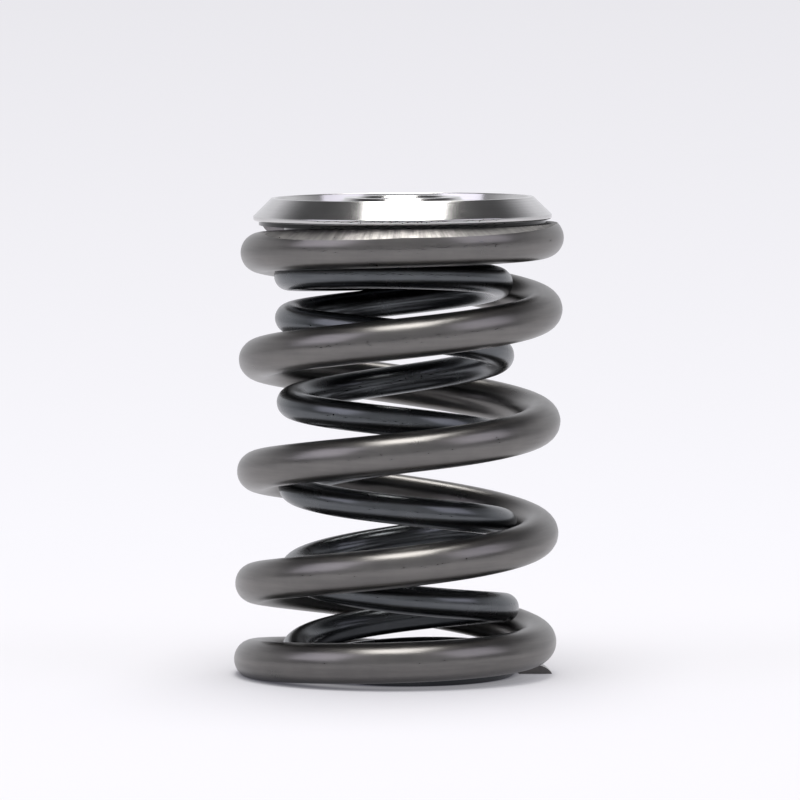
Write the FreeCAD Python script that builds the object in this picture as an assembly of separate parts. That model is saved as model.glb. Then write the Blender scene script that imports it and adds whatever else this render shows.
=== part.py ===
import FreeCAD, Part
import math
import os

# A dual valve spring with its retainer, standing on a level floor. Millimetres, +Z up.
# The origin is on the floor, midway between the foot and the head of the outer spring's axis.

# Outer spring, wound right-hand. At each end the tip is ground thin, and the closed turns have their own pitch.
OUTER_WIRE = 3.6
OUTER_MEAN_DIAMETER = 25.3
OUTER_TURNS = 5.425
OUTER_LENGTH = 40.35
OUTER_FOOT_TIP = 1.04
OUTER_FOOT_CLOSED = 1.02
OUTER_FOOT_PITCH = 3.8
OUTER_HEAD_TIP = 1.24
OUTER_HEAD_CLOSED = 0.987
OUTER_HEAD_PITCH = 3.575
OUTER_RAMP = 0.24
OUTER_TIP_AZIMUTH = 0.0

# Inner spring, wound left-hand so that the two coils cannot lock into each other.
# It has settled inside the outer one: its turns tip with their front edges down at the foot and up at the head.
INNER_WIRE = 2.62
COIL_CLEARANCE = 0.175
INNER_TURNS = 6.3
INNER_FOOT_TIP = 1.085
INNER_FOOT_CLOSED = 1.036
INNER_FOOT_PITCH = 2.346
INNER_HEAD_TIP = 1.54
INNER_HEAD_CLOSED = 0.96
INNER_HEAD_PITCH = 1.873
INNER_RAMP = 0.56
INNER_FOOT_TIPPING = -5.5
INNER_MIDDLE_TIPPING = 1.45
INNER_HEAD_TIPPING = 4.65
INNER_TIP_AZIMUTH = 184.0
INNER_MEAN_DIAMETER = OUTER_MEAN_DIAMETER - OUTER_WIRE - INNER_WIRE - 2 * COIL_CLEARANCE

# Squareness error of each spring, as the lean of its axis towards +X and towards +Y, in degrees.
OUTER_LEAN_X = 0.985
OUTER_LEAN_Y = 1.46
INNER_LEAN_X = -1.118
INNER_LEAN_Y = 1.374

# Where the inner spring's foot stands, measured from the outer spring's foot.
INNER_FOOT_X = 0.575
INNER_FOOT_Y = -0.065

# The outer spring's head is ground slightly out of level, higher towards +X, and carries the retainer so.
HEAD_TILT = 0.4

# Bevel ground on the outer edge of both ends of the outer spring, deeper at the front.
BEVEL_ANGLE = 28.0
BEVEL_PAST_WIRE_CENTRE = 1.41
BEVEL_OFFSET = 1.08

# Retainer, turned from bar. Heights are measured from its outer seat.
FLANGE_RADIUS = 13.35
FLANGE_LAND_TOP = 0.8
FLANGE_UNDERSIDE = 0.38
SEAT_RADIUS = 12.85
RIM_RADIUS = 11.72
RIM_HEIGHT = 2.4
RIM_LAND = 0.35
DISH_FLOOR = 1.2
DISH_WALL_SLOPE = 0.3
DISH_FILLET = 0.3
HUB_RADIUS = 5.5
HUB_HEIGHT = 2.4
HUB_CHAMFER = 0.35
PILOT_CLEARANCE = 0.2
PILOT_DEPTH = 2.9
PILOT_CHAMFER = 0.3
BOSS_RADIUS = 4.85
BOSS_DEPTH = 5.2
BOSS_FILLET = 0.5
BOSS_CHAMFER = 0.3
TAPER_MOUTH_RADIUS = 3.94
TAPER_HALF_ANGLE = 7.0
TAPER_MOUTH_CHAMFER = 0.2
EDGE_ROUND = 0.12
LIP_ROUND = 0.2

# The inner spring stops this far short of the pilot's underside, which it would meet under load.
INNER_HEAD_CLEARANCE = 0.8
INNER_LENGTH = OUTER_LENGTH - PILOT_DEPTH - INNER_HEAD_CLEARANCE

# The wire's surface passes through this many rings in each turn, each with this many points.
RINGS_PER_TURN = 16
POINTS_AROUND_WIRE = 12
RUN_OUT = 8

# The grinding tools reach this far from the springs' axes.
REACH = 24.0


def vector(x, y, z):
    return FreeCAD.Vector(x, y, z)


class Coil:
    """A round wire wound on a cylinder: close-wound at both ends, evenly pitched between them."""

    def __init__(self, wire, mean_diameter, turns, length, foot, head, ramp, azimuth, hand, tipping):
        self.wire_radius = wire / 2
        self.radius = mean_diameter / 2
        self.turns = turns
        # Each end is given as the tip's thickness, the closed turns and their pitch.
        foot_tip, self.foot_closed, self.foot_pitch = foot
        head_tip, self.head_closed, self.head_pitch = head
        self.ramp = ramp
        self.azimuth = math.radians(azimuth)
        self.hand = hand
        # How far the turns tip, with their front edges up, at the foot, in the middle and at the head.
        self.tipping = tipping
        # The grinding leaves a tip thinner than the wire, so both tips' centres lie past the ground planes.
        self.start = foot_tip - self.wire_radius
        rise = length + self.wire_radius - head_tip - self.start
        closed_rise = self.foot_closed * self.foot_pitch + self.head_closed * self.head_pitch
        self.pitch = (rise - closed_rise) / (turns - self.foot_closed - self.head_closed)

    def opened(self, turn, middle):
        """Turns wound since the pitch began to open, which it does over one ramp about the middle."""
        past = turn - (middle - self.ramp / 2)
        if past <= 0:
            return 0.0
        if past >= self.ramp:
            return past - self.ramp / 2
        return past * past / (2 * self.ramp)

    def height(self, turn):
        foot = (self.pitch - self.foot_pitch) * self.opened(turn, self.foot_closed)
        head = (self.pitch - self.head_pitch) * self.opened(turn, self.turns - self.head_closed)
        return self.start + self.foot_pitch * turn + foot - head

    def tipped(self, turn):
        """The slope of the turns towards the front, which changes along a parabola from foot to head."""
        foot, middle, head = self.tipping
        share = turn / self.turns
        angle = foot + (4 * middle - 3 * foot - head) * share + (2 * foot - 4 * middle + 2 * head) * share ** 2
        return math.tan(math.radians(angle))

    def point(self, turn):
        angle = self.azimuth + self.hand * 2 * math.pi * turn
        x = self.radius * math.cos(angle)
        y = self.radius * math.sin(angle)
        return vector(x, y, self.height(turn) - y * self.tipped(turn))

    def tangent(self, turn):
        step = 0.001
        return self.point(turn + step) - self.point(turn - step)

    def ring(self, turn):
        """Points around the wire's section, counted from the side that faces the spring's axis."""
        centre = self.point(turn)
        along = self.tangent(turn).normalize()
        inward = vector(-centre.x, -centre.y, 0).normalize()
        across = along.cross(inward)
        points = []
        for k in range(-RUN_OUT, POINTS_AROUND_WIRE + RUN_OUT + 1):
            angle = 2 * math.pi * k / POINTS_AROUND_WIRE
            spoke = inward * math.cos(angle) + across * math.sin(angle)
            points.append(centre + spoke * self.wire_radius)
        return points

    def surface(self):
        """The wire's skin. Its grid of points runs out past both edges, where a spline would ripple."""
        last = round(self.turns * RINGS_PER_TURN)
        skin = Part.BSplineSurface()
        skin.interpolate([self.ring(self.turns * k / last) for k in range(-RUN_OUT, last + RUN_OUT + 1)])
        return skin

    def solid(self):
        skin = self.surface()
        along = skin.getUKnots()[RUN_OUT:-RUN_OUT]
        around = skin.getVKnots()[RUN_OUT:-RUN_OUT]
        lengths = along[:-1:RINGS_PER_TURN // 2] + along[-1:]
        sides = around[::POINTS_AROUND_WIRE // 2]
        faces = []
        for start, finish in zip(lengths, lengths[1:]):
            for low, high in zip(sides, sides[1:]):
                patch = skin.copy()
                patch.segment(start, finish, low, high)
                faces.append(patch.toShape())
        for end in (along[0], along[-1]):
            rim = [skin.uIso(end).toShape(low, high) for low, high in zip(sides, sides[1:])]
            faces.append(Part.Face(Part.Wire(rim)))
        shell = Part.makeShell(faces)
        shell.sewShape()
        coil = Part.makeSolid(shell)
        if coil.Volume < 0:
            coil.reverse()
        return coil


def leaned(shape, lean_x, lean_y, foot):
    """The shape tipped about its foot, first towards +X and then towards +Y."""
    tipped = shape.copy()
    tipped.rotate(vector(0, 0, 0), vector(0, 1, 0), lean_x)
    tipped.rotate(vector(0, 0, 0), vector(1, 0, 0), -lean_y)
    tipped.translate(foot)
    return tipped


def axis_shift(lean_x, lean_y, height):
    """How far a leaned axis has moved sideways at a height above its foot."""
    across = math.tan(math.radians(lean_x)) / math.cos(math.radians(lean_y))
    return vector(height * across, height * math.tan(math.radians(lean_y)), 0)


def grinding(bevel_radius, bevel_angle, bevel_shift):
    """What grinding takes off a head at height 0: all above it, and outside a shallow cone below it."""
    fall = (REACH - bevel_radius) * math.tan(math.radians(bevel_angle))
    corners = [
        vector(0, 0, 0),
        vector(bevel_radius, 0, 0),
        vector(REACH, 0, -fall),
        vector(REACH, 0, REACH),
        vector(0, 0, REACH),
    ]
    section = Part.Face(Part.makePolygon(corners + corners[:1]))
    wheel = section.revolve(vector(0, 0, 0), vector(0, 0, 1), 360)
    wheel.translate(vector(0, bevel_shift, 0))
    return wheel


def turned_over(shape):
    """The same shape upside down, with its front still at the front."""
    over = shape.copy()
    over.rotate(vector(0, 0, 0), vector(0, 1, 0), 180)
    return over


def tilted(shape, seat):
    """The shape set on the outer spring's head."""
    placed = shape.copy()
    placed.rotate(vector(0, 0, 0), vector(0, 1, 0), -HEAD_TILT)
    placed.translate(seat)
    return placed


def make_outer_spring(foot, seat):
    foot_end = (OUTER_FOOT_TIP, OUTER_FOOT_CLOSED, OUTER_FOOT_PITCH)
    head_end = (OUTER_HEAD_TIP, OUTER_HEAD_CLOSED, OUTER_HEAD_PITCH)
    coil = Coil(OUTER_WIRE, OUTER_MEAN_DIAMETER, OUTER_TURNS, OUTER_LENGTH, foot_end, head_end,
                OUTER_RAMP, OUTER_TIP_AZIMUTH, 1, (0, 0, 0))
    spring = leaned(coil.solid(), OUTER_LEAN_X, OUTER_LEAN_Y, foot)
    wheel = grinding(OUTER_MEAN_DIAMETER / 2 + BEVEL_PAST_WIRE_CENTRE, BEVEL_ANGLE, BEVEL_OFFSET)
    floor_wheel = turned_over(wheel)
    floor_wheel.translate(foot)
    return spring.cut(floor_wheel).cut(tilted(wheel, seat))


def make_inner_spring(foot):
    foot_end = (INNER_FOOT_TIP, INNER_FOOT_CLOSED, INNER_FOOT_PITCH)
    head_end = (INNER_HEAD_TIP, INNER_HEAD_CLOSED, INNER_HEAD_PITCH)
    tipping = (INNER_FOOT_TIPPING, INNER_MIDDLE_TIPPING, INNER_HEAD_TIPPING)
    coil = Coil(INNER_WIRE, INNER_MEAN_DIAMETER, INNER_TURNS, INNER_LENGTH, foot_end, head_end,
                INNER_RAMP, INNER_TIP_AZIMUTH, -1, tipping)
    # The head is ground square to the spring's own axis, and the foot is ground level with the floor.
    wheel = grinding(REACH - 1, 0, 0)
    square = wheel.copy()
    square.translate(vector(0, 0, INNER_LENGTH))
    spring = leaned(coil.solid().cut(square), INNER_LEAN_X, INNER_LEAN_Y, foot)
    floor_wheel = turned_over(wheel)
    floor_wheel.translate(foot)
    return spring.cut(floor_wheel)


def outline(corners):
    """A closed outline in the XZ plane. A corner is (radius, height) or (radius, height, rounding)."""
    places = [vector(corner[0], 0, corner[1]) for corner in corners]
    rounds = [corner[2] if len(corner) > 2 else 0.0 for corner in corners]
    edges = []
    ends = []
    for k, place in enumerate(places):
        before = (places[k - 1] - place).normalize()
        after = (places[(k + 1) % len(places)] - place).normalize()
        if rounds[k] == 0:
            ends.append((place, place))
            continue
        half = before.getAngle(after) / 2
        setback = rounds[k] / math.tan(half)
        middle = (before + after).normalize()
        centre = place + middle * (rounds[k] / math.sin(half))
        first = place + before * setback
        last = place + after * setback
        edges.append(Part.Arc(first, centre - middle * rounds[k], last).toShape())
        ends.append((first, last))
    for k in range(len(places)):
        start = ends[k][1]
        finish = ends[(k + 1) % len(places)][0]
        edges.append(Part.makeLine(start, finish))
    return Part.Wire(Part.__sortEdges__(edges))


def make_retainer(seat):
    pilot_radius = (OUTER_MEAN_DIAMETER - OUTER_WIRE) / 2 - PILOT_CLEARANCE
    taper = math.tan(math.radians(TAPER_HALF_ANGLE))
    throat_radius = TAPER_MOUTH_RADIUS - (HUB_HEIGHT + BOSS_DEPTH) * taper
    dish_radius = RIM_RADIUS - RIM_LAND
    corners = [
        (throat_radius, -BOSS_DEPTH),
        (BOSS_RADIUS - BOSS_CHAMFER, -BOSS_DEPTH),
        (BOSS_RADIUS, BOSS_CHAMFER - BOSS_DEPTH),
        (BOSS_RADIUS, -PILOT_DEPTH, BOSS_FILLET),
        (pilot_radius - PILOT_CHAMFER, -PILOT_DEPTH),
        (pilot_radius, PILOT_CHAMFER - PILOT_DEPTH),
        (pilot_radius, 0),
        (SEAT_RADIUS, 0),
        (SEAT_RADIUS, FLANGE_UNDERSIDE),
        (FLANGE_RADIUS, FLANGE_UNDERSIDE, LIP_ROUND),
        (FLANGE_RADIUS, FLANGE_LAND_TOP, EDGE_ROUND),
        (RIM_RADIUS, RIM_HEIGHT, EDGE_ROUND),
        (dish_radius, RIM_HEIGHT, EDGE_ROUND),
        (dish_radius - DISH_WALL_SLOPE, DISH_FLOOR, DISH_FILLET),
        (HUB_RADIUS, DISH_FLOOR, DISH_FILLET),
        (HUB_RADIUS, HUB_HEIGHT - HUB_CHAMFER),
        (HUB_RADIUS - HUB_CHAMFER, HUB_HEIGHT),
        (TAPER_MOUTH_RADIUS + TAPER_MOUTH_CHAMFER, HUB_HEIGHT),
        (TAPER_MOUTH_RADIUS - TAPER_MOUTH_CHAMFER * taper, HUB_HEIGHT - TAPER_MOUTH_CHAMFER),
    ]
    return tilted(Part.Face(outline(corners)).revolve(vector(0, 0, 0), vector(0, 0, 1), 360), seat)


def main():
    os.makedirs("parts", exist_ok=True)
    travel = axis_shift(OUTER_LEAN_X, OUTER_LEAN_Y, OUTER_LENGTH)
    outer_foot = travel * -0.5
    inner_foot = outer_foot + vector(INNER_FOOT_X, INNER_FOOT_Y, 0)
    seat = outer_foot + travel + vector(0, 0, OUTER_LENGTH)
    nodes = {
        "outer_spring": make_outer_spring(outer_foot, seat),
        "inner_spring": make_inner_spring(inner_foot),
        "retainer": make_retainer(seat),
    }
    for name, shape in nodes.items():
        solids = shape.Solids
        box = shape.BoundBox
        print(name, len(solids), "solid", shape.isValid(), "volume", round(shape.Volume, 2), "box",
              [round(v, 2) for v in (box.XMin, box.YMin, box.ZMin, box.XMax, box.YMax, box.ZMax)])
        solids[0].exportStep("parts/" + name + ".step")


main()
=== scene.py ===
import math

import bpy
from mathutils import Matrix, Vector


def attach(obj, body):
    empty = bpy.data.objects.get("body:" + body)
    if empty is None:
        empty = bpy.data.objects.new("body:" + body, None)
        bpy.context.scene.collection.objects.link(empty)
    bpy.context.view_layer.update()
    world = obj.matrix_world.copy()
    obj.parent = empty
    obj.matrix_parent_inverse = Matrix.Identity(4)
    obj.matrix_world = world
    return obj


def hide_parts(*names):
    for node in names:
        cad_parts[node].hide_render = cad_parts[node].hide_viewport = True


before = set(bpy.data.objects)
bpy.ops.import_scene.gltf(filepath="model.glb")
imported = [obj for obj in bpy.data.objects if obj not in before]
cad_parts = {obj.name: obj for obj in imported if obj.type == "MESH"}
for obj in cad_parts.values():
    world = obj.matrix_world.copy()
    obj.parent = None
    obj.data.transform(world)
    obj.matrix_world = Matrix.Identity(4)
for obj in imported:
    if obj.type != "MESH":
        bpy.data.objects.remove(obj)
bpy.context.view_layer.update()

MM = 0.001

# Outer spring, in millimetres and turns. Each end is the tip's thickness, the closed turns and their pitch.
OUTER_WIRE = 3.6
OUTER_MEAN_DIAMETER = 25.3
OUTER_TURNS = 5.425
OUTER_LENGTH = 40.35
OUTER_FOOT_END = (1.04, 1.02, 3.8)
OUTER_HEAD_END = (1.24, 0.987, 3.575)
OUTER_RAMP = 0.24
OUTER_TIP_AZIMUTH = 0.0
OUTER_LEAN = (0.985, 1.46)
OUTER_TIPPING = (0, 0, 0)

# Inner spring, wound the other way. Its turns tip front edge up, in degrees at the foot, middle and head.
INNER_WIRE = 2.62
INNER_MEAN_DIAMETER = 18.73
INNER_TURNS = 6.3
INNER_LENGTH = 36.65
INNER_FOOT_END = (1.085, 1.036, 2.346)
INNER_HEAD_END = (1.54, 0.96, 1.873)
INNER_RAMP = 0.56
INNER_TIP_AZIMUTH = 184.0
INNER_LEAN = (-1.118, 1.374)
INNER_TIPPING = (-5.5, 1.45, 4.65)
INNER_FOOT = (0.575, -0.065)

# The outer spring's head is ground slightly out of level and carries the retainer so, in degrees.
HEAD_TILT = 0.4

# Bevel on the outer edge of the outer spring's ground ends, deeper at the front.
BEVEL_ANGLE = 28.0
BEVEL_START_RADIUS = 14.06
BEVEL_OFFSET = 1.08

# The head's bevel is ground once more on the left, with the wheel raised and tipped that way, in degrees.
HAND_TILT = 2.6
HAND_RISE = 1.58

# The inner spring's ends are ground flat, by a wheel whose slope starts outside the wire.
PLAIN_START_RADIUS = 20.0
PLAIN_ANGLE = 45.0

# Grinding wheel, and the finishes that its slope and its flat face leave on the wire; the flat face's finish
# is painted nearly black, as painted shade in the gap under the retainer.
WHEEL_DEPTH = 60.0
WHEEL_SIDES = 360
SLOPE_SLOT = 1
FLAT_SLOT = 2
NEARLY_LEVEL = 0.99

# Retainer's section: radius, height above its outer seat, and rounding.
LIP_HEIGHT = 0.38
RETAINER_SECTION = [
    (3.006, -5.2, 0),
    (4.55, -5.2, 0),
    (4.85, -4.9, 0),
    (4.85, -2.9, 0.5),
    (10.35, -2.9, 0),
    (10.65, -2.6, 0),
    (10.65, 0.0, 0),
    (12.85, 0.0, 0),
    (12.85, LIP_HEIGHT, 0),
    (13.35, LIP_HEIGHT, 0.2),
    (13.35, 0.8, 0.12),
    (11.72, 2.4, 0.12),
    (11.37, 2.4, 0.12),
    (11.07, 1.2, 0.3),
    (5.5, 1.2, 0.3),
    (5.5, 2.05, 0),
    (5.15, 2.4, 0),
    (4.14, 2.4, 0),
    (3.915, 2.2, 0),
]

# Fineness of the meshes. Edges sharper than the angle stay crisp.
RINGS_PER_TURN = 72
SIDES_OF_WIRE = 40
RETAINER_SIDES = 256
STEPS_OF_ROUNDING = 6
SAME_PLACE = 0.001
CRISP_ANGLE = 25

# Wire's streaks, in waves for each millimetre along it and across it.
STREAKS_ALONG = 0.12
STREAKS_ACROSS = 2.2

# Ground faces: scratches in waves for each radian and each millimetre, and painted shade towards the left
# and right sides, which leaves a painted highlight in the middle.
SCRATCHES_AROUND = 22.4
SCRATCHES_UP = 0.5
SIDE_SHADE_FROM = 2.0
SIDE_SHADE_TO = 7.0
SIDE_SHADE_SHARE = 0.8
SIDE_SHADE_LEVEL = 0.08

# Retainer: turned rings for each millimetre, and painted shade on the part below the lip, standing in for
# the shadow in the gap over the spring; it ends just below the lip.
RINGS_ACROSS = 9
UNDERSIDE_SHADE_EDGE = 0.05
UNDERSIDE_SHADE_LEVEL = 0.03

# Camera: height, distance and fall of the line of sight, in millimetres and degrees. The line passes
# through this column and row of the square picture, and the focal length is in its pixels.
SIGHT_HEIGHT = 20.05
SIGHT_DISTANCE = 533.9
SIGHT_FALL = 4.40
PICTURE_SIZE = 800
SIGHT_COLUMN = 398.66
SIGHT_ROW = 450.5
FOCAL_PIXELS = 5959.0
SENSOR = 36.0
CLIP_START = 0.01
CLIP_END = 50

# Floor, in metres: one wide sheet, moved aside so that no edge between its triangles passes the springs.
FLOOR_SIZE = 40.0
FLOOR_CENTRE = (12, 0, 0)

# The floor's own paleness falls with the distance, in millimetres along y.
FLOOR_TINT = (1.0, 0.99, 1.037)
FLOOR_FAR_LEVEL = 0.818
FLOOR_NEAR_GAIN = 0.165
FADE_START = 580
FADE_OFFSET = 532

# Near the springs the floor also takes the lamps' light and shadow, within these reaches in millimetres.
FLOOR_LIT_COLOUR = (0.62, 0.618, 0.64, 1)
FLOOR_OWN_SHARE = 0.35
SHADOW_FULL_REACH = 22.0
SHADOW_END_REACH = 150.0
FLOOR_IN_METAL = 0.9

# Contact shade under the coils: a narrow deep one and a wide faint one, with their distances in metres.
CONTACT_COLOUR = (0.02, 0.02, 0.035, 1)
CONTACT_DISTANCE = 0.0013
CONTACT_RANGE = (-0.3, 0.85)
WIDE_DISTANCE = 0.06
WIDE_SHARE = 0.15
OPENNESS_SAMPLES = 16

# Studio round the springs: pale where it is seen, and for the metal a bright wall in front and behind.
PALE_COLOUR = (0.818, 0.81, 0.848, 1)
STUDIO_TINT = (0.96, 0.96, 1.0)
STUDIO_LEVEL = 0.09
FAR_WALL_LEVEL = 0.78
NEAR_WALL_LEVEL = 0.5

# Soft lights: place and size in metres, power in watts, and colour. They face the springs' middle.
PANEL_TARGET = (0, 0, 0.025)
PANELS = {
    "top_panel": ((0.004, 0.03, 0.5), (0.26, 0.62), 3.6, (1.0, 0.985, 0.96)),
    "left_panel": ((-0.32, -0.16, 0.26), (0.3, 0.3), 0.45, (0.9, 0.87, 1.0)),
    "right_panel": ((0.32, -0.16, 0.26), (0.3, 0.3), 0.36, (0.9, 0.87, 1.0)),
}


def deselect():
    bpy.ops.object.select_all(action="DESELECT")


def pick(piece):
    """Select this piece alone."""
    deselect()
    bpy.context.view_layer.objects.active = piece
    piece.select_set(True)


def edit(piece):
    """Open the piece's mesh, with all of it selected."""
    pick(piece)
    bpy.ops.object.mode_set(mode="EDIT")
    bpy.ops.mesh.select_all(action="SELECT")


def done():
    bpy.ops.object.mode_set(mode="OBJECT")


def settle(piece):
    """Put the piece's place into its mesh, so that its object sits at the origin."""
    pick(piece)
    bpy.ops.object.transform_apply(location=True, rotation=True, scale=True)


def turn(angle, axis, centre=(0, 0, 0)):
    """Turn what is selected. The sign is changed because this operator turns the other way."""
    bpy.ops.transform.rotate(value=-angle, orient_axis=axis, center_override=centre)


def dress(piece, finishes):
    for finish in finishes:
        piece.data.materials.append(finish)


def soften(piece):
    pick(piece)
    bpy.ops.object.shade_smooth_by_angle(angle=math.radians(CRISP_ANGLE))


class Winding:
    """How a spring's wire climbs from its foot to its head, in millimetres for each turn."""

    def __init__(self, wire, turns, length, foot, head, ramp, tipping):
        foot_tip, self.foot_closed, self.foot_pitch = foot
        head_tip, self.head_closed, self.head_pitch = head
        self.turns = turns
        self.ramp = ramp
        self.tipping = tipping
        self.start = foot_tip - wire / 2
        rise = length + wire / 2 - head_tip - self.start
        closed_rise = self.foot_closed * self.foot_pitch + self.head_closed * self.head_pitch
        self.pitch = (rise - closed_rise) / (turns - self.foot_closed - self.head_closed)

    def opened(self, count, middle):
        """The turns past a change of pitch, which is eased in over the ramp about its middle."""
        past = count - (middle - self.ramp / 2)
        if past <= 0:
            return 0.0
        if past >= self.ramp:
            return past - self.ramp / 2
        return past * past / (2 * self.ramp)

    def height(self, count):
        foot = (self.pitch - self.foot_pitch) * self.opened(count, self.foot_closed)
        head = (self.pitch - self.head_pitch) * self.opened(count, self.turns - self.head_closed)
        return self.start + self.foot_pitch * count + foot - head

    def tipped(self, count):
        """The slope of the turns towards the front, along a parabola from foot to head."""
        foot, middle, head = self.tipping
        share = count / self.turns
        slope = 4 * middle - 3 * foot - head
        bend = 2 * foot - 4 * middle + 2 * head
        return math.tan(math.radians(foot + slope * share + bend * share ** 2))


def coil(name, winding, wire, mean_diameter, azimuth, hand):
    """Extrude the wire's round section ring by ring along the winding."""
    def height(count):
        depth = mean_diameter / 2 * math.sin(math.radians(azimuth) + hand * 2 * math.pi * count)
        return winding.height(count) - depth * winding.tipped(count)

    slope = math.atan(winding.pitch / (math.pi * mean_diameter))
    start = Vector((mean_diameter / 2 * MM, 0, height(0) * MM))
    deselect()
    bpy.ops.mesh.primitive_circle_add(
        vertices=SIDES_OF_WIRE, radius=wire / 2 * MM, fill_type="NGON",
        location=start, rotation=(math.pi / 2 + hand * slope, 0, 0))
    piece = bpy.context.object
    piece.name = name
    settle(piece)
    edit(piece)
    turn(math.radians(azimuth), "Z")
    steps = round(winding.turns * RINGS_PER_TURN)
    share = winding.turns / steps
    for k in range(steps):
        climb = height((k + 1) * share) - height(k * share)
        bpy.ops.mesh.extrude_region_move(TRANSFORM_OT_translate={"value": (0, 0, climb * MM)})
        turn(hand * 2 * math.pi * share, "Z")
    bpy.ops.mesh.select_all(action="SELECT")
    bpy.ops.mesh.normals_make_consistent(inside=False)
    done()
    return piece


def lean(piece, angles, foot):
    """Lean the piece to the right and backwards, in degrees, and stand it at its foot."""
    edit(piece)
    turn(math.radians(angles[0]), "Y")
    turn(-math.radians(angles[1]), "X")
    bpy.ops.transform.translate(value=Vector((foot[0], foot[1], 0)) * MM)
    done()


def travel(angles, height):
    """How far a leaning axis moves over a height."""
    across = math.tan(math.radians(angles[0])) / math.cos(math.radians(angles[1]))
    return Vector((height * across, height * math.tan(math.radians(angles[1])), 0))


def tilt(piece, seat, degrees):
    """Tip a piece about the outer spring's head, down to the left."""
    edit(piece)
    turn(-math.radians(degrees), "Y", seat * MM)
    done()


def grinder(centre, plane, start_radius, angle, upward, finishes):
    """A wide cone frustum. What lies inside it is kept, and its flat face and slope are the ground faces."""
    wide = start_radius + WHEEL_DEPTH / math.tan(math.radians(angle))
    middle = plane - WHEEL_DEPTH / 2 if upward else plane + WHEEL_DEPTH / 2
    deselect()
    bpy.ops.mesh.primitive_cone_add(
        vertices=WHEEL_SIDES, radius1=wide * MM, radius2=start_radius * MM, depth=WHEEL_DEPTH * MM,
        location=Vector((centre[0], centre[1], middle)) * MM,
        rotation=(0 if upward else math.pi, 0, 0))
    tool = bpy.context.object
    settle(tool)
    dress(tool, finishes)
    for face in tool.data.polygons:
        face.material_index = SLOPE_SLOT if abs(face.normal.z) < NEARLY_LEVEL else FLAT_SLOT
    return tool


def keep_inside(piece, tool):
    pick(piece)
    cut = piece.modifiers.new("ground", "BOOLEAN")
    cut.operation = "INTERSECT"
    cut.solver = "EXACT"
    cut.object = tool
    bpy.ops.object.modifier_apply(modifier=cut.name)
    bpy.data.objects.remove(tool)


def make_outer_spring(foot, finishes):
    winding = Winding(
        OUTER_WIRE, OUTER_TURNS, OUTER_LENGTH, OUTER_FOOT_END, OUTER_HEAD_END, OUTER_RAMP, OUTER_TIPPING)
    piece = coil("outer_coil", winding, OUTER_WIRE, OUTER_MEAN_DIAMETER, OUTER_TIP_AZIMUTH, 1)
    lean(piece, OUTER_LEAN, foot)
    dress(piece, finishes)
    below = (foot.x, foot.y + BEVEL_OFFSET)
    keep_inside(piece, grinder(below, 0.0, BEVEL_START_RADIUS, BEVEL_ANGLE, False, finishes))
    seat = foot + travel(OUTER_LEAN, OUTER_LENGTH) + Vector((0, 0, OUTER_LENGTH))
    above = (seat.x, seat.y + BEVEL_OFFSET)
    for rise, degrees in ((0.0, HEAD_TILT), (HAND_RISE, HAND_TILT)):
        start_radius = BEVEL_START_RADIUS - rise / math.tan(math.radians(BEVEL_ANGLE))
        tool = grinder(above, OUTER_LENGTH + rise, start_radius, BEVEL_ANGLE, True, finishes)
        tilt(tool, seat, degrees)
        keep_inside(piece, tool)
    soften(piece)
    return piece


def make_inner_spring(foot, finishes):
    winding = Winding(
        INNER_WIRE, INNER_TURNS, INNER_LENGTH, INNER_FOOT_END, INNER_HEAD_END, INNER_RAMP, INNER_TIPPING)
    piece = coil("inner_coil", winding, INNER_WIRE, INNER_MEAN_DIAMETER, INNER_TIP_AZIMUTH, -1)
    dress(piece, finishes)
    keep_inside(piece, grinder((0, 0), INNER_LENGTH, PLAIN_START_RADIUS, PLAIN_ANGLE, True, finishes))
    lean(piece, INNER_LEAN, foot)
    keep_inside(piece, grinder((0, 0), 0.0, PLAIN_START_RADIUS, PLAIN_ANGLE, False, finishes))
    soften(piece)
    return piece


def rounded(section):
    """The section's corners, with each rounding as an arc of short steps."""
    places = [Vector(corner[:2]) for corner in section]
    outline = []
    for k, place in enumerate(places):
        rounding = section[k][2]
        if rounding == 0:
            outline.append(place)
            continue
        before = (places[k - 1] - place).normalized()
        after = (places[(k + 1) % len(places)] - place).normalized()
        half = before.angle(after) / 2
        centre = place + (before + after).normalized() * (rounding / math.sin(half))
        first = place + before * (rounding / math.tan(half)) - centre
        last = place + after * (rounding / math.tan(half)) - centre
        for step in range(STEPS_OF_ROUNDING + 1):
            outline.append(centre + first.slerp(last, step / STEPS_OF_ROUNDING) * rounding)
    return outline


def make_retainer(seat, finishes):
    """Turn the retainer by extruding one ring of edges from corner to corner of its section."""
    corners = rounded(RETAINER_SECTION)
    corners.append(corners[0])
    deselect()
    bpy.ops.mesh.primitive_circle_add(
        vertices=RETAINER_SIDES, radius=corners[0].x * MM, fill_type="NOTHING",
        location=(seat + Vector((0, 0, corners[0].y))) * MM)
    piece = bpy.context.object
    piece.name = "turned_retainer"
    settle(piece)
    edit(piece)
    for corner, following in zip(corners, corners[1:]):
        climb = (following.y - corner.y) * MM
        bpy.ops.mesh.extrude_edges_move(TRANSFORM_OT_translate={"value": (0, 0, climb)})
        share = following.x / corner.x
        centre = (seat + Vector((0, 0, following.y))) * MM
        bpy.ops.transform.resize(value=(share, share, 1), center_override=centre)
    bpy.ops.mesh.select_all(action="SELECT")
    bpy.ops.mesh.remove_doubles(threshold=SAME_PLACE * MM)
    bpy.ops.mesh.normals_make_consistent(inside=False)
    done()
    tilt(piece, seat, HEAD_TILT)
    dress(piece, finishes)
    soften(piece)
    return piece


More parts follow.
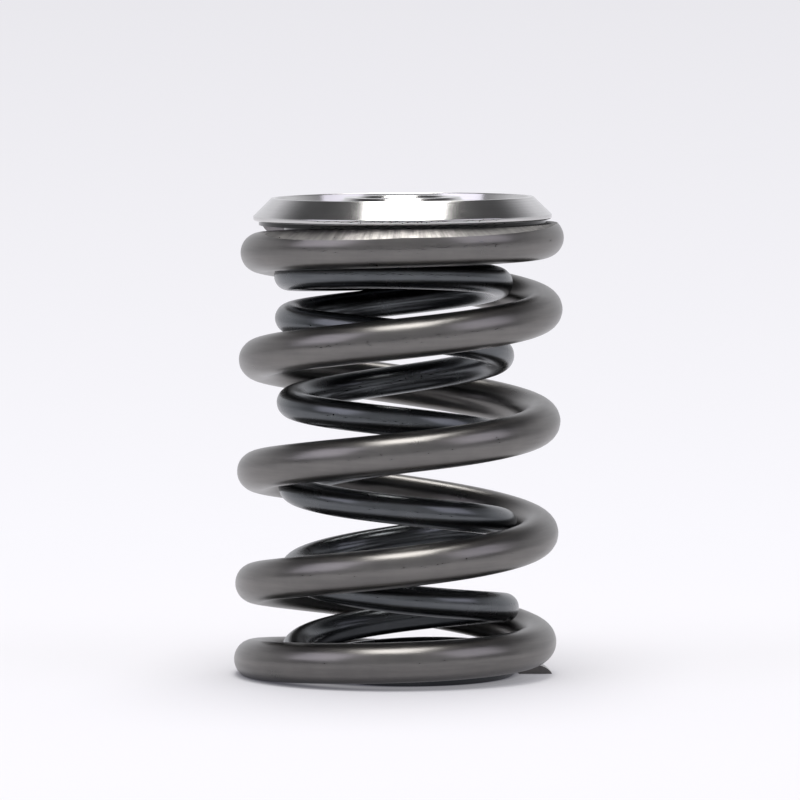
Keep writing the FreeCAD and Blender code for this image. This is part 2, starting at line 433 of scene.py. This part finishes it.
class Signal:
    """One shader socket, on which sums are written as ordinary arithmetic."""

    def __init__(self, finish, socket):
        self.finish = finish
        self.socket = socket

    def __add__(self, other):
        return self.finish.math("ADD", self, other)

    def __radd__(self, other):
        return self.finish.math("ADD", other, self)

    def __sub__(self, other):
        return self.finish.math("SUBTRACT", self, other)

    def __rsub__(self, other):
        return self.finish.math("SUBTRACT", other, self)

    def __mul__(self, other):
        return self.finish.math("MULTIPLY", self, other)

    def __rmul__(self, other):
        return self.finish.math("MULTIPLY", other, self)

    def __truediv__(self, other):
        return self.finish.math("DIVIDE", self, other)

    def __rtruediv__(self, other):
        return self.finish.math("DIVIDE", other, self)

    def between(self, low, high):
        """0 below low, 1 above high, and smooth from one to the other."""
        ranged = self.finish.node(
            "ShaderNodeMapRange", {"interpolation_type": "SMOOTHSTEP", "clamp": True},
            {"Value": self, "From Min": low, "From Max": high})
        return Signal(self.finish, ranged.outputs["Result"])


class Finish:
    """A node tree for one surface of the object, or for the light around it."""

    def __init__(self, owner):
        owner.use_nodes = True
        self.tree = owner.node_tree
        self.tree.nodes.clear()

    def node(self, kind, settings=None, values=None):
        made = self.tree.nodes.new(kind)
        for key, setting in (settings or {}).items():
            setattr(made, key, setting)
        for key, value in (values or {}).items():
            self.feed(made.inputs[key], value)
        return made

    def feed(self, socket, value):
        if isinstance(value, Signal):
            self.tree.links.new(value.socket, socket)
        elif isinstance(value, bpy.types.NodeSocket):
            self.tree.links.new(value, socket)
        else:
            socket.default_value = value

    def math(self, operation, *values):
        made = self.node("ShaderNodeMath", {"operation": operation}, dict(enumerate(values)))
        return Signal(self, made.outputs[0])

    def mix(self, share, first, second):
        """A colour between two colours."""
        made = self.node("ShaderNodeMix", {"data_type": "RGBA"}, {0: share, 6: first, 7: second})
        return Signal(self, made.outputs[2])

    def scaled(self, colour, level):
        """A colour at a level of brightness that changes from place to place."""
        made = self.node("ShaderNodeVectorMath", {"operation": "SCALE"}, {"Vector": colour, "Scale": level})
        return Signal(self, made.outputs[0])

    def place(self):
        """Where the surface is, in millimetres from the origin on the floor."""
        spot = self.node("ShaderNodeTexCoord").outputs["Object"]
        split = self.node("ShaderNodeSeparateXYZ", None, {0: spot})
        return [Signal(self, split.outputs[k]) / MM for k in range(3)]

    def reach(self, x, y):
        """How far a place is from an upright axis."""
        return self.math("SQRT", x * x + y * y)

    def vector(self, x, y, z):
        made = self.node("ShaderNodeCombineXYZ", None, {0: x, 1: y, 2: z})
        return Signal(self, made.outputs[0])

    def noise(self, vector, scale, detail, roughness, fourth=None):
        settings = {"noise_dimensions": "3D" if fourth is None else "4D"}
        values = {"Vector": vector, "Scale": scale, "Detail": detail, "Roughness": roughness}
        if fourth is not None:
            values["W"] = fourth
        made = self.node("ShaderNodeTexNoise", settings, values)
        return Signal(self, made.outputs[0])

    def openness(self, distance):
        """1 where nothing stands within the distance, less beside and under something."""
        made = self.node("ShaderNodeAmbientOcclusion", {"samples": OPENNESS_SAMPLES}, {"Distance": distance})
        return Signal(self, made.outputs["AO"])

    def bump(self, height, strength, depth):
        """A relief, whose depth is in millimetres."""
        made = self.node(
            "ShaderNodeBump", None, {"Height": height, "Strength": strength, "Distance": depth * MM})
        return Signal(self, made.outputs[0])

    def over(self, share, first, second):
        """One surface over another, by a share that changes from place to place."""
        made = self.node("ShaderNodeMixShader", None, {0: share, 1: first.outputs[0], 2: second.outputs[0]})
        return made

    def metal(self, colour, roughness, normal):
        shader = self.node("ShaderNodeBsdfPrincipled", None, {
            "Metallic": 1.0, "Base Color": colour, "Roughness": roughness, "Normal": normal})
        self.node("ShaderNodeOutputMaterial", None, {"Surface": shader.outputs[0]})


def grey(level, warmth=0.0):
    """A plain metal colour, a little warmer or colder than grey."""
    return (level * (1 + warmth), level, level * (1 - warmth), 1)


def blended(first, second, share):
    """Two patterns in one, the first of them by its share."""
    return first * share + second * (1 - share)


def varied(level, pattern, spread):
    """A level that a pattern raises and lowers, by up to half the spread."""
    return level + (pattern - 0.5) * spread


def drawn_wire(name, colour, dark, roughness, streak, hammered):
    """Spring wire: fine streaks along the wire, and shallow peening."""
    material = bpy.data.materials.new(name)
    finish = Finish(material)
    x, y, z = finish.place()
    spot = finish.vector(x, y, z)
    lines = finish.vector(x * STREAKS_ALONG, y * STREAKS_ALONG, z * STREAKS_ACROSS)
    streaks = finish.noise(
        lines, scale=1.0, detail=3.0, roughness=0.6, fourth=finish.reach(x, y) * STREAKS_ACROSS)
    clouds = finish.noise(spot, scale=0.35, detail=3.0, roughness=0.55)
    pits = finish.noise(spot, scale=5.0, detail=2.0, roughness=0.6)
    shade = blended(streaks, clouds, 0.6).between(0.3, 0.7)
    relief = pits * hammered + streaks * streak
    finish.metal(
        colour=finish.mix(shade, dark, colour),
        roughness=varied(roughness, clouds, 0.12),
        normal=finish.bump(relief, strength=1.0, depth=0.02))
    return material


def ground_steel(name, colour, dark, roughness):
    """A ground face: short coarse scratches across the wire, with painted shade darkening it towards the
    left and right.
    """
    material = bpy.data.materials.new(name)
    finish = Finish(material)
    x, y, z = finish.place()
    around = finish.math("ARCTAN2", x, -1 * y)
    lines = finish.vector(around * SCRATCHES_AROUND, z * SCRATCHES_UP, 0.0)
    scratches = finish.noise(lines, scale=1.0, detail=4.0, roughness=0.65)
    blotches = finish.noise(finish.vector(x, y, z), scale=0.9, detail=3.0, roughness=0.6)
    shade = blended(scratches, blotches, 0.65).between(0.36, 0.64)
    # Painted shade: darker towards the left and right, so that the overhead light's painted highlight stays
    # in the middle.
    side = finish.math("ABSOLUTE", x).between(SIDE_SHADE_FROM, SIDE_SHADE_TO)
    bright = finish.mix(shade, dark, colour)
    finish.metal(
        colour=finish.mix(side * SIDE_SHADE_SHARE, bright, grey(SIDE_SHADE_LEVEL)),
        roughness=varied(roughness, blotches, 0.2),
        normal=finish.bump(scratches, strength=1.0, depth=0.04))
    return material


def turned_steel(name, seat, colour, dark, roughness):
    """Fine-turned steel: faint rings about the retainer's axis, and painted shade on the part below the lip.
    """
    material = bpy.data.materials.new(name)
    finish = Finish(material)
    x, y, z = finish.place()
    dx = x - seat.x
    dy = y - seat.y
    lines = finish.vector(finish.reach(dx, dy) * RINGS_ACROSS, z * RINGS_ACROSS, 0.0)
    rings = finish.noise(lines, scale=1.0, detail=3.0, roughness=0.6)
    clouds = finish.noise(finish.vector(x, y, z), scale=0.3, detail=3.0, roughness=0.5)
    shade = blended(rings, clouds, 0.5).between(0.3, 0.7)
    height = z - seat.z - dx * math.tan(math.radians(HEAD_TILT))
    # Painted shade: below the lip the retainer is painted nearly black, standing in for the shadow in the
    # gap over the spring.
    underside_shade = 1 - height.between(LIP_HEIGHT - UNDERSIDE_SHADE_EDGE, LIP_HEIGHT)
    bright = finish.mix(shade, dark, colour)
    finish.metal(
        colour=finish.mix(underside_shade, bright, grey(UNDERSIDE_SHADE_LEVEL)),
        roughness=varied(roughness, clouds, 0.06),
        normal=finish.bump(rings, strength=0.6, depth=0.006))
    return material


def make_camera():
    fall = math.radians(SIGHT_FALL)
    forward = Vector((0, math.cos(fall), -math.sin(fall)))
    up = Vector((0, math.sin(fall), math.cos(fall)))
    right = Vector((1, 0, 0))
    middle = PICTURE_SIZE / 2
    aim = forward * FOCAL_PIXELS + right * (middle - SIGHT_COLUMN) + up * (SIGHT_ROW - middle)
    place = (Vector((0, 0, SIGHT_HEIGHT)) - forward * SIGHT_DISTANCE) * MM
    back = -aim.normalized()
    side = up.cross(back).normalized()
    top = back.cross(side)
    turned = Matrix((side, top, back)).transposed().to_4x4()
    data = bpy.data.cameras.new("camera")
    data.sensor_width = SENSOR
    data.lens = FOCAL_PIXELS / PICTURE_SIZE * SENSOR
    data.clip_start = CLIP_START
    data.clip_end = CLIP_END
    camera = bpy.data.objects.new("camera", data)
    bpy.context.scene.collection.objects.link(camera)
    camera.matrix_world = Matrix.Translation(place) @ turned
    bpy.context.scene.camera = camera


def seen_directly(finish, glossy_share):
    """1 for what the camera sees, and a share of it for what metal reflects."""
    path = finish.node("ShaderNodeLightPath")
    direct = Signal(finish, path.outputs["Is Camera Ray"])
    glossy = Signal(finish, path.outputs["Is Glossy Ray"])
    through = Signal(finish, path.outputs["Is Transmission Ray"])
    return finish.math("MINIMUM", direct + through + glossy * glossy_share, 1.0)


def make_floor():
    """A pale floor without a visible end. Near the springs it takes their shadow."""
    deselect()
    bpy.ops.mesh.primitive_plane_add(size=FLOOR_SIZE, location=FLOOR_CENTRE)
    floor = bpy.context.object
    floor.name = "floor"
    settle(floor)
    material = bpy.data.materials.new("pale_floor")
    finish = Finish(material)
    x, y, z = finish.place()
    nearness = finish.math("MINIMUM", FADE_START / (y + FADE_OFFSET), 1.0)
    own_colour = finish.scaled(FLOOR_TINT, nearness * FLOOR_NEAR_GAIN + FLOOR_FAR_LEVEL)
    own = finish.node("ShaderNodeEmission", None, {"Color": own_colour, "Strength": 1.0})
    lit = finish.node("ShaderNodeBsdfDiffuse", None, {"Color": FLOOR_LIT_COLOUR})
    away = finish.reach(x, y).between(SHADOW_FULL_REACH, SHADOW_END_REACH)
    own_share = FLOOR_OWN_SHARE + (1 - FLOOR_OWN_SHARE) * away
    pale = finish.over(seen_directly(finish, FLOOR_IN_METAL) * own_share, lit, own)
    contact = finish.node("ShaderNodeEmission", None, {"Color": CONTACT_COLOUR, "Strength": 1.0})
    narrow = finish.openness(CONTACT_DISTANCE).between(*CONTACT_RANGE)
    wide = 1 - WIDE_SHARE + WIDE_SHARE * finish.openness(WIDE_DISTANCE)
    shaded = finish.over(narrow * wide, contact, pale)
    finish.node("ShaderNodeOutputMaterial", None, {"Surface": shaded.outputs[0]})
    dress(floor, (material,))


def make_world():
    """A studio that is pale where it is seen, and dim with two brighter walls where metal reflects it."""
    world = bpy.data.worlds.new("studio")
    bpy.context.scene.world = world
    finish = Finish(world)
    way = finish.node("ShaderNodeTexCoord").outputs["Generated"]
    split = finish.node("ShaderNodeSeparateXYZ", None, {0: way})
    back = Signal(finish, split.outputs[1])
    above = Signal(finish, split.outputs[2])
    far_wall = back.between(-0.5, 0.7) * (1 - above.between(0.35, 0.75))
    near_wall = 1 - back.between(-0.9, -0.1)
    level = STUDIO_LEVEL + far_wall * FAR_WALL_LEVEL + near_wall * NEAR_WALL_LEVEL
    studio_colour = finish.scaled(STUDIO_TINT, level)
    studio = finish.node("ShaderNodeBackground", None, {"Color": studio_colour, "Strength": 1.0})
    pale = finish.node("ShaderNodeBackground", None, {"Color": PALE_COLOUR, "Strength": 1.0})
    both = finish.over(seen_directly(finish, 0.0), studio, pale)
    finish.node("ShaderNodeOutputWorld", None, {"Surface": both.outputs[0]})


def make_panel(name, place, size, power, colour):
    """A rectangular soft light that faces the springs."""
    data = bpy.data.lights.new(name, "AREA")
    data.shape = "RECTANGLE"
    data.size, data.size_y = size
    data.energy = power
    data.color = colour
    panel = bpy.data.objects.new(name, data)
    bpy.context.scene.collection.objects.link(panel)
    panel.location = place
    aim = Vector(PANEL_TARGET) - Vector(place)
    panel.rotation_mode = "QUATERNION"
    panel.rotation_quaternion = aim.to_track_quat("-Z", "Y")


# The outer spring's axis: its foot, and its head, which carries the retainer.
AXIS_TRAVEL = travel(OUTER_LEAN, OUTER_LENGTH)
OUTER_FOOT = AXIS_TRAVEL * -0.5
SEAT = AXIS_TRAVEL * 0.5 + Vector((0, 0, OUTER_LENGTH))

outer_wire = drawn_wire(
    "outer_wire_steel", grey(0.185, 0.04), grey(0.145, 0.03), roughness=0.3, streak=0.35, hammered=0.1)
inner_wire = drawn_wire(
    "inner_wire_steel", grey(0.135, -0.05), grey(0.09, -0.07), roughness=0.26, streak=0.12, hammered=0.05)
ground_end = ground_steel("ground_end_steel", grey(0.6, 0.04), grey(0.25, 0.03), roughness=0.6)
# The flat ground faces are a darker copy of the ground finish: painted shade standing in for the gap's
# shadow under the retainer.
shaded_ground_flat = ground_steel("ground_flat_shaded_steel", grey(0.1, 0.04), grey(0.05, 0.03), roughness=0.5)
turned = turned_steel("turned_retainer_steel", SEAT, grey(0.62, 0.01), grey(0.52, 0.01), roughness=0.16)

outer = make_outer_spring(OUTER_FOOT, (outer_wire, ground_end, shaded_ground_flat))
inner = make_inner_spring(OUTER_FOOT + Vector((*INNER_FOOT, 0)), (inner_wire, ground_end, shaded_ground_flat))
retainer = make_retainer(SEAT, (turned,))

PIECES = (
    (outer, "outer_spring", "outer_wire"),
    (inner, "inner_spring", "inner_wire"),
    (retainer, "retainer", "turned_steel"),
)
for piece, node, slot in PIECES:
    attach(piece, "root")
    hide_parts(node)

make_camera()
make_floor()
make_world()
for name, panel in PANELS.items():
    make_panel(name, *panel)

bpy.context.scene.view_settings.view_transform = "Standard"
